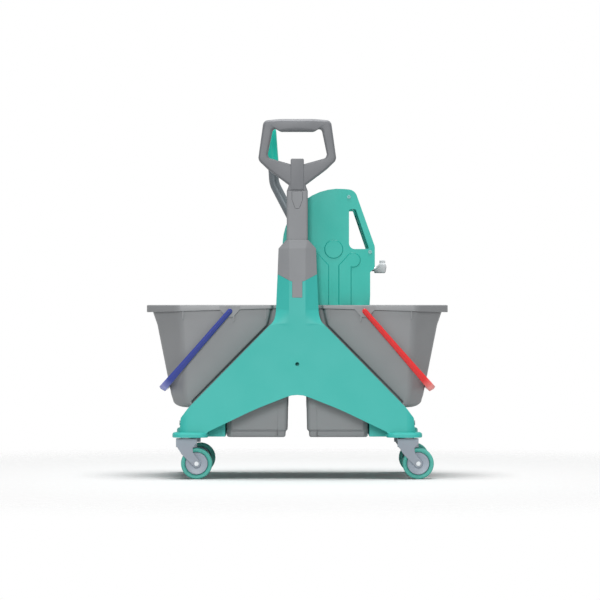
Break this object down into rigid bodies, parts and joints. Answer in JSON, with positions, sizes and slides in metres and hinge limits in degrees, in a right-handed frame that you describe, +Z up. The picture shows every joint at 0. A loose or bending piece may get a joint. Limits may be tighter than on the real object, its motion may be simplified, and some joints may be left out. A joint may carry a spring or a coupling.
{
  "type": "double mop bucket trolley",
  "caption": "Wheeled cleaning trolley with lift-out buckets on an A shaped frame, swing bails, a D push handle and a lever press for wringing mops.",
  "frame": {"origin": "on the floor under the middle of the trolley", "axes": "+X along the trolley to the bucket with the press, -Y towards the side with the push handle, +Z up"},
  "size_m": [0.782, 0.4, 0.923],
  "materials": {
    "teal_plastic": "satin moulded",
    "grip_teal": "satin moulded",
    "grey_plastic": "satin moulded",
    "bucket_grey": "satin moulded",
    "pale_plastic": "satin moulded",
    "bail_blue": "satin moulded",
    "bail_red": "satin moulded",
    "steel": "satin",
    "teal_rubber": "smooth rubber"
  },
  "bodies": {
    "chassis": {"front_frame": "teal_plastic", "rear_frame": "teal_plastic", "left_beam": "teal_plastic", "right_beam": "teal_plastic", "centre_web": "teal_plastic", "frame_screws": "steel", "caster_bushes": "pale_plastic", "handle_collar": "grey_plastic", "handle_post": "grey_plastic", "push_handle": "grey_plastic"},
    "lock": {"lock_button": "grey_plastic"},
    "left_pail": {"left_bucket": "bucket_grey"},
    "left_handle": {"left_bail": "bail_blue"},
    "right_pail": {"right_bucket": "bucket_grey"},
    "right_handle": {"right_bail": "bail_red"},
    "press": {"front_cheek": "teal_plastic", "rear_cheek": "teal_plastic", "front_liner": "teal_plastic", "rear_liner": "teal_plastic", "press_trough": "teal_plastic", "fixed_jaw": "pale_plastic", "carry_bar": "teal_plastic", "shaft_bushes": "pale_plastic", "return_spring": "steel", "cheek_screws": "steel"},
    "lever": {"lever_yoke": "steel", "lever_tube": "steel", "lever_grip": "grip_teal", "stub_shafts": "steel", "front_sector": "pale_plastic", "rear_sector": "pale_plastic"},
    "jaw": {"moving_jaw": "pale_plastic", "front_rack": "pale_plastic", "rear_rack": "pale_plastic"},
    "adjuster": {"pressure_knob": "pale_plastic", "pressure_spindle": "steel"},
    "front_left_castor": {"front_left_fork": "pale_plastic", "front_left_stem": "steel", "front_left_axle": "steel"},
    "front_left_wheel": {"front_left_hub": "pale_plastic", "front_left_tyre": "teal_rubber"},
    "front_right_castor": {"front_right_fork": "pale_plastic", "front_right_stem": "steel", "front_right_axle": "steel"},
    "front_right_wheel": {"front_right_hub": "pale_plastic", "front_right_tyre": "teal_rubber"},
    "rear_left_castor": {"rear_left_fork": "pale_plastic", "rear_left_stem": "steel", "rear_left_axle": "steel"},
    "rear_left_wheel": {"rear_left_hub": "pale_plastic", "rear_left_tyre": "teal_rubber"},
    "rear_right_castor": {"rear_right_fork": "pale_plastic", "rear_right_stem": "steel", "rear_right_axle": "steel"},
    "rear_right_wheel": {"rear_right_hub": "pale_plastic", "rear_right_tyre": "teal_rubber"}
  },
  "joints": [
    {"name": "left_bucket_lift", "type": "slide", "parent": "chassis", "child": "left_pail", "axis": [0, 0, 1], "range_m": [0, 0.08]},
    {"name": "right_bucket_lift", "type": "slide", "parent": "chassis", "child": "right_pail", "axis": [0, 0, 1], "range_m": [0, 0.08]},
    {"name": "left_bail_swing", "type": "hinge", "parent": "left_pail", "child": "left_handle", "pos_m": [-0.17367, 0, 0.43], "axis": [0, 1, 0], "range_deg": [0, 139]},
    {"name": "right_bail_swing", "type": "hinge", "parent": "right_pail", "child": "right_handle", "pos_m": [0.17367, 0, 0.43], "axis": [0, -1, 0], "range_deg": [0, 120]},
    {"name": "press_lift", "type": "slide", "parent": "right_pail", "child": "press", "axis": [0, 0, 1], "range_m": [0, 0.2]},
    {"name": "lever_press", "type": "hinge", "parent": "press", "child": "lever", "pos_m": [0.094, 0, 0.59], "axis": [0, -1, 0], "range_deg": [0, 50], "stiffness_Nm_per_rad": 2.5, "springref_deg": -57.3},
    {"name": "jaw_press", "type": "slide", "parent": "press", "child": "jaw", "axis": [1, 0, 0], "range_m": [0, 0.0525]},
    {"name": "pressure_turn", "type": "hinge", "parent": "press", "child": "adjuster", "pos_m": [0.2, 0, 0.54], "axis": [1, 0, 0], "range_deg": [0, 90]},
    {"name": "lock_press", "type": "slide", "parent": "chassis", "child": "lock", "axis": [0, 1, 0], "range_m": [0, 0.003], "stiffness_N_per_m": 300, "springref_m": -0.003},
    {"name": "front_left_swivel", "type": "hinge", "parent": "chassis", "child": "front_left_castor", "pos_m": [-0.284, -0.162, 0.1], "axis": [0, 0, 1], "continuous": true},
    {"name": "front_left_roll", "type": "hinge", "parent": "front_left_castor", "child": "front_left_wheel", "pos_m": [-0.258, -0.162, 0.04], "axis": [0, 1, 0], "continuous": true},
    {"name": "front_right_swivel", "type": "hinge", "parent": "chassis", "child": "front_right_castor", "pos_m": [0.284, -0.162, 0.1], "axis": [0, 0, 1], "continuous": true},
    {"name": "front_right_roll", "type": "hinge", "parent": "front_right_castor", "child": "front_right_wheel", "pos_m": [0.31, -0.162, 0.04], "axis": [0, 1, 0], "continuous": true},
    {"name": "rear_left_swivel", "type": "hinge", "parent": "chassis", "child": "rear_left_castor", "pos_m": [-0.284, 0.162, 0.1], "axis": [0, 0, 1], "continuous": true},
    {"name": "rear_left_roll", "type": "hinge", "parent": "rear_left_castor", "child": "rear_left_wheel", "pos_m": [-0.258, 0.162, 0.04], "axis": [0, 1, 0], "continuous": true},
    {"name": "rear_right_swivel", "type": "hinge", "parent": "chassis", "child": "rear_right_castor", "pos_m": [0.284, 0.162, 0.1], "axis": [0, 0, 1], "continuous": true},
    {"name": "rear_right_roll", "type": "hinge", "parent": "rear_right_castor", "child": "rear_right_wheel", "pos_m": [0.31, 0.162, 0.04], "axis": [0, 1, 0], "continuous": true}
  ],
  "couplings": [
    {"joint": "jaw_press", "follows": "lever_press", "m_per_rad": 0.06}
  ]
}
